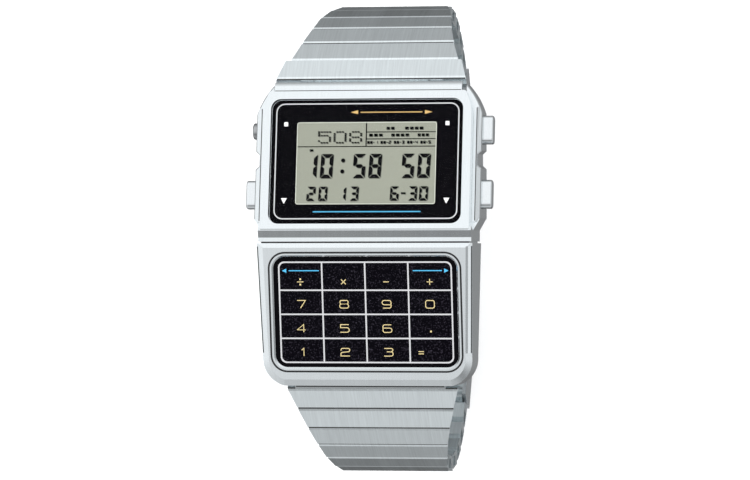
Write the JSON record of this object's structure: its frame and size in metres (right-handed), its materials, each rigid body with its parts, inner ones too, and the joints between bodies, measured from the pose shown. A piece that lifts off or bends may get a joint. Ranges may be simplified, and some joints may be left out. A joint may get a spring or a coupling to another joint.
{
  "type": "calculator watch",
  "caption": "Digital wristwatch with a roof-shaped metal case, a display half, a calculator keypad half, side buttons and a tapering folded-link bracelet with a fold-over clasp.",
  "frame": {"origin": "middle of the case back's outer face", "axes": "+Z out of the face, +Y to 12 o'clock, +X to 3 o'clock; the bracelet hangs below the case along -Z and the wrist passes along X"},
  "size_m": [0.0376, 0.0726, 0.0558],
  "materials": {
    "case_shell": "polished metal plating",
    "back_steel": "fine brushed",
    "gasket_rubber": "matte",
    "screw_steel": "turned",
    "window_glass": "clear, glossy",
    "display_glass": "reflective liquid crystal",
    "keypad_plate": "matte black with silver lines",
    "key_plastic": "fine grained",
    "dome_steel": "bare",
    "module_plastic": "moulded",
    "circuit_board": "solder mask",
    "battery_steel": "nickel plated",
    "strap_steel": "bare",
    "spring_steel": "bare",
    "bar_steel": "ground",
    "link_steel": "brushed across, sheet edges bright",
    "clasp_steel": "brushed along",
    "blade_steel": "fine brushed",
    "button_metal": "polished"
  },
  "bodies": {
    "case": {"case_body": "case_shell", "case_back": "back_steel", "back_gasket": "gasket_rubber", "case_back_screws": "screw_steel", "display_window": "window_glass", "lcd_panel": "display_glass", "key_grid": "keypad_plate", "key_domes": "dome_steel", "module_frame": "module_plastic", "main_board": "circuit_board", "battery": "battery_steel", "battery_strap": "strap_steel", "button_springs": "spring_steel", "lug_bars": "bar_steel"},
    "key_divide": {"key_divide": "key_plastic"},
    "key_times": {"key_times": "key_plastic"},
    "key_minus": {"key_minus": "key_plastic"},
    "key_plus": {"key_plus": "key_plastic"},
    "key_7": {"key_7": "key_plastic"},
    "key_8": {"key_8": "key_plastic"},
    "key_9": {"key_9": "key_plastic"},
    "key_0": {"key_0": "key_plastic"},
    "key_4": {"key_4": "key_plastic"},
    "key_5": {"key_5": "key_plastic"},
    "key_6": {"key_6": "key_plastic"},
    "key_point": {"key_point": "key_plastic"},
    "key_1": {"key_1": "key_plastic"},
    "key_2": {"key_2": "key_plastic"},
    "key_3": {"key_3": "key_plastic"},
    "key_equals": {"key_equals": "key_plastic"},
    "light_button": {"light_button": "button_metal"},
    "clear_button": {"clear_button": "button_metal"},
    "mode_button": {"mode_button": "button_metal"},
    "adjust_button": {"adjust_button": "button_metal"},
    "upper_link_1": {"upper_link_1": "link_steel"},
    "upper_link_2": {"upper_link_2": "link_steel"},
    "upper_link_3": {"upper_link_3": "link_steel"},
    "upper_link_4": {"upper_link_4": "link_steel"},
    "upper_link_5": {"upper_link_5": "link_steel"},
    "upper_link_6": {"upper_link_6": "link_steel"},
    "upper_link_7": {"upper_link_7": "link_steel"},
    "upper_link_8": {"upper_link_8": "link_steel"},
    "upper_link_9": {"upper_link_9": "link_steel"},
    "upper_link_10": {"upper_link_10": "link_steel"},
    "upper_link_11": {"upper_link_11": "link_steel"},
    "lower_link_1": {"lower_link_1": "link_steel"},
    "lower_link_2": {"lower_link_2": "link_steel"},
    "lower_link_3": {"lower_link_3": "link_steel"},
    "lower_link_4": {"lower_link_4": "link_steel"},
    "lower_link_5": {"lower_link_5": "link_steel"},
    "lower_link_6": {"lower_link_6": "link_steel"},
    "lower_link_7": {"lower_link_7": "link_steel"},
    "lower_link_8": {"lower_link_8": "link_steel"},
    "lower_link_9": {"lower_link_9": "link_steel"},
    "lower_link_10": {"lower_link_10": "link_steel"},
    "lower_link_11": {"lower_link_11": "link_steel"},
    "clasp": {"clasp_cover": "clasp_steel", "band_tail": "link_steel"},
    "blade": {"clasp_blade": "blade_steel"},
    "lock": {"clasp_lock": "blade_steel"}
  },
  "joints": [
    {"name": "key_divide_press", "type": "slide", "parent": "case", "child": "key_divide", "axis": [0, 0.1564, -0.9877], "range_m": [0, 0.00035], "stiffness_N_per_m": 900, "springref_m": -0.0005, "deforming": ["key_domes"]},
    {"name": "key_times_press", "type": "slide", "parent": "case", "child": "key_times", "axis": [0, 0.1564, -0.9877], "range_m": [0, 0.00035], "stiffness_N_per_m": 900, "springref_m": -0.0005, "deforming": ["key_domes"]},
    {"name": "key_minus_press", "type": "slide", "parent": "case", "child": "key_minus", "axis": [0, 0.1564, -0.9877], "range_m": [0, 0.00035], "stiffness_N_per_m": 900, "springref_m": -0.0005, "deforming": ["key_domes"]},
    {"name": "key_plus_press", "type": "slide", "parent": "case", "child": "key_plus", "axis": [0, 0.1564, -0.9877], "range_m": [0, 0.00035], "stiffness_N_per_m": 900, "springref_m": -0.0005, "deforming": ["key_domes"]},
    {"name": "key_7_press", "type": "slide", "parent": "case", "child": "key_7", "axis": [0, 0.1564, -0.9877], "range_m": [0, 0.00035], "stiffness_N_per_m": 900, "springref_m": -0.0005, "deforming": ["key_domes"]},
    {"name": "key_8_press", "type": "slide", "parent": "case", "child": "key_8", "axis": [0, 0.1564, -0.9877], "range_m": [0, 0.00035], "stiffness_N_per_m": 900, "springref_m": -0.0005, "deforming": ["key_domes"]},
    {"name": "key_9_press", "type": "slide", "parent": "case", "child": "key_9", "axis": [0, 0.1564, -0.9877], "range_m": [0, 0.00035], "stiffness_N_per_m": 900, "springref_m": -0.0005, "deforming": ["key_domes"]},
    {"name": "key_0_press", "type": "slide", "parent": "case", "child": "key_0", "axis": [0, 0.1564, -0.9877], "range_m": [0, 0.00035], "stiffness_N_per_m": 900, "springref_m": -0.0005, "deforming": ["key_domes"]},
    {"name": "key_4_press", "type": "slide", "parent": "case", "child": "key_4", "axis": [0, 0.1564, -0.9877], "range_m": [0, 0.00035], "stiffness_N_per_m": 900, "springref_m": -0.0005, "deforming": ["key_domes"]},
    {"name": "key_5_press", "type": "slide", "parent": "case", "child": "key_5", "axis": [0, 0.1564, -0.9877], "range_m": [0, 0.00035], "stiffness_N_per_m": 900, "springref_m": -0.0005, "deforming": ["key_domes"]},
    {"name": "key_6_press", "type": "slide", "parent": "case", "child": "key_6", "axis": [0, 0.1564, -0.9877], "range_m": [0, 0.00035], "stiffness_N_per_m": 900, "springref_m": -0.0005, "deforming": ["key_domes"]},
    {"name": "key_point_press", "type": "slide", "parent": "case", "child": "key_point", "axis": [0, 0.1564, -0.9877], "range_m": [0, 0.00035], "stiffness_N_per_m": 900, "springref_m": -0.0005, "deforming": ["key_domes"]},
    {"name": "key_1_press", "type": "slide", "parent": "case", "child": "key_1", "axis": [0, 0.1564, -0.9877], "range_m": [0, 0.00035], "stiffness_N_per_m": 900, "springref_m": -0.0005, "deforming": ["key_domes"]},
    {"name": "key_2_press", "type": "slide", "parent": "case", "child": "key_2", "axis": [0, 0.1564, -0.9877], "range_m": [0, 0.00035], "stiffness_N_per_m": 900, "springref_m": -0.0005, "deforming": ["key_domes"]},
    {"name": "key_3_press", "type": "slide", "parent": "case", "child": "key_3", "axis": [0, 0.1564, -0.9877], "range_m": [0, 0.00035], "stiffness_N_per_m": 900, "springref_m": -0.0005, "deforming": ["key_domes"]},
    {"name": "key_equals_press", "type": "slide", "parent": "case", "child": "key_equals", "axis": [0, 0.1564, -0.9877], "range_m": [0, 0.00035], "stiffness_N_per_m": 900, "springref_m": -0.0005, "deforming": ["key_domes"]},
    {"name": "light_button_press", "type": "slide", "parent": "case", "child": "light_button", "axis": [-1, 0, 0], "range_m": [0, 0.0007], "stiffness_N_per_m": 900, "springref_m": -0.0008, "deforming": ["button_springs"]},
    {"name": "clear_button_press", "type": "slide", "parent": "case", "child": "clear_button", "axis": [-1, 0, 0], "range_m": [0, 0.0007], "stiffness_N_per_m": 900, "springref_m": -0.0008, "deforming": ["button_springs"]},
    {"name": "mode_button_press", "type": "slide", "parent": "case", "child": "mode_button", "axis": [1, 0, 0], "range_m": [0, 0.0007], "stiffness_N_per_m": 900, "springref_m": -0.0008, "deforming": ["button_springs"]},
    {"name": "adjust_button_press", "type": "slide", "parent": "case", "child": "adjust_button", "axis": [1, 0, 0], "range_m": [0, 0.0005], "stiffness_N_per_m": 900, "springref_m": -0.0008, "deforming": ["button_springs"]},
    {"name": "lower_hinge_1", "type": "hinge", "parent": "case", "child": "lower_link_1", "pos_m": [0, -0.02133, 0.00167], "axis": [-1, 0, 0], "range_deg": [0, 40]},
    {"name": "lower_hinge_2", "type": "hinge", "parent": "lower_link_1", "child": "lower_link_2", "pos_m": [0, -0.02444, -0.00107], "axis": [-1, 0, 0], "range_deg": [0, 1.35]},
    {"name": "lower_hinge_3", "type": "hinge", "parent": "lower_link_2", "child": "lower_link_3", "pos_m": [0, -0.02749, -0.00389], "axis": [-1, 0, 0], "range_deg": [0, 7.74]},
    {"name": "lower_hinge_4", "type": "hinge", "parent": "lower_link_3", "child": "lower_link_4", "pos_m": [0, -0.03013, -0.00709], "axis": [-1, 0, 0], "range_deg": [0, 8.31]},
    {"name": "lower_hinge_5", "type": "hinge", "parent": "lower_link_4", "child": "lower_link_5", "pos_m": [0, -0.03229, -0.01064], "axis": [-1, 0, 0], "range_deg": [0, 8.87]},
    {"name": "lower_hinge_6", "type": "hinge", "parent": "lower_link_5", "child": "lower_link_6", "pos_m": [0, -0.03387, -0.01448], "axis": [-1, 0, 0], "range_deg": [0, 9.36]},
    {"name": "lower_hinge_7", "type": "hinge", "parent": "lower_link_6", "child": "lower_link_7", "pos_m": [0, -0.0348, -0.01852], "axis": [-1, 0, 0], "range_deg": [0, 9.76]},
    {"name": "lower_hinge_8", "type": "hinge", "parent": "lower_link_7", "child": "lower_link_8", "pos_m": [0, -0.03503, -0.02266], "axis": [-1, 0, 0], "range_deg": [0, 13.95]},
    {"name": "lower_hinge_9", "type": "hinge", "parent": "lower_link_8", "child": "lower_link_9", "pos_m": [0, -0.03426, -0.02674], "axis": [-1, 0, 0], "range_deg": [0, 14.96]},
    {"name": "lower_hinge_10", "type": "hinge", "parent": "lower_link_9", "child": "lower_link_10", "pos_m": [0, -0.03247, -0.03048], "axis": [-1, 0, 0], "range_deg": [0, 12.52]},
    {"name": "lower_hinge_11", "type": "hinge", "parent": "lower_link_10", "child": "lower_link_11", "pos_m": [0, -0.0299, -0.03374], "axis": [-1, 0, 0], "range_deg": [0, 10.12]},
    {"name": "upper_hinge_1", "type": "hinge", "parent": "case", "child": "upper_link_1", "pos_m": [0, 0.02253, 0.00317], "axis": [1, 0, 0], "range_deg": [0, 45]},
    {"name": "upper_hinge_2", "type": "hinge", "parent": "upper_link_1", "child": "upper_link_2", "pos_m": [0, 0.02544, -0.00013], "axis": [1, 0, 0], "range_deg": [0, 1.18]},
    {"name": "upper_hinge_3", "type": "hinge", "parent": "upper_link_2", "child": "upper_link_3", "pos_m": [0, 0.02825, -0.00318], "axis": [1, 0, 0], "range_deg": [0, 7.4]},
    {"name": "upper_hinge_4", "type": "hinge", "parent": "upper_link_3", "child": "upper_link_4", "pos_m": [0, 0.03065, -0.00657], "axis": [1, 0, 0], "range_deg": [0, 7.66]},
    {"name": "upper_hinge_5", "type": "hinge", "parent": "upper_link_4", "child": "upper_link_5", "pos_m": [0, 0.03257, -0.01025], "axis": [1, 0, 0], "range_deg": [0, 7.89]},
    {"name": "upper_hinge_6", "type": "hinge", "parent": "upper_link_5", "child": "upper_link_6", "pos_m": [0, 0.03397, -0.01416], "axis": [1, 0, 0], "range_deg": [0, 8.08]},
    {"name": "upper_hinge_7", "type": "hinge", "parent": "upper_link_6", "child": "upper_link_7", "pos_m": [0, 0.0348, -0.01822], "axis": [1, 0, 0], "range_deg": [0, 8.24]},
    {"name": "upper_hinge_8", "type": "hinge", "parent": "upper_link_7", "child": "upper_link_8", "pos_m": [0, 0.03504, -0.02236], "axis": [1, 0, 0], "range_deg": [0, 12.94]},
    {"name": "upper_hinge_9", "type": "hinge", "parent": "upper_link_8", "child": "upper_link_9", "pos_m": [0, 0.03435, -0.02646], "axis": [1, 0, 0], "range_deg": [0, 15.11]},
    {"name": "upper_hinge_10", "type": "hinge", "parent": "upper_link_9", "child": "upper_link_10", "pos_m": [0, 0.03262, -0.03023], "axis": [1, 0, 0], "range_deg": [0, 12.7]},
    {"name": "upper_hinge_11", "type": "hinge", "parent": "upper_link_10", "child": "upper_link_11", "pos_m": [0, 0.0301, -0.03352], "axis": [1, 0, 0], "range_deg": [0, 10.28]},
    {"name": "clasp_hinge", "type": "hinge", "parent": "lower_link_11", "child": "clasp", "pos_m": [0, -0.0268, -0.0365], "axis": [-1, 0, 0], "range_deg": [0, 10.85]},
    {"name": "blade_hinge", "type": "hinge", "parent": "clasp", "child": "blade", "pos_m": [0, -0.01311, -0.04058], "axis": [1, 0, 0], "range_deg": [0, 80]},
    {"name": "lock_hinge", "type": "hinge", "parent": "clasp", "child": "lock", "pos_m": [0, -0.02361, -0.03618], "axis": [1, 0, 0], "range_deg": [0, 75]}
  ]
}
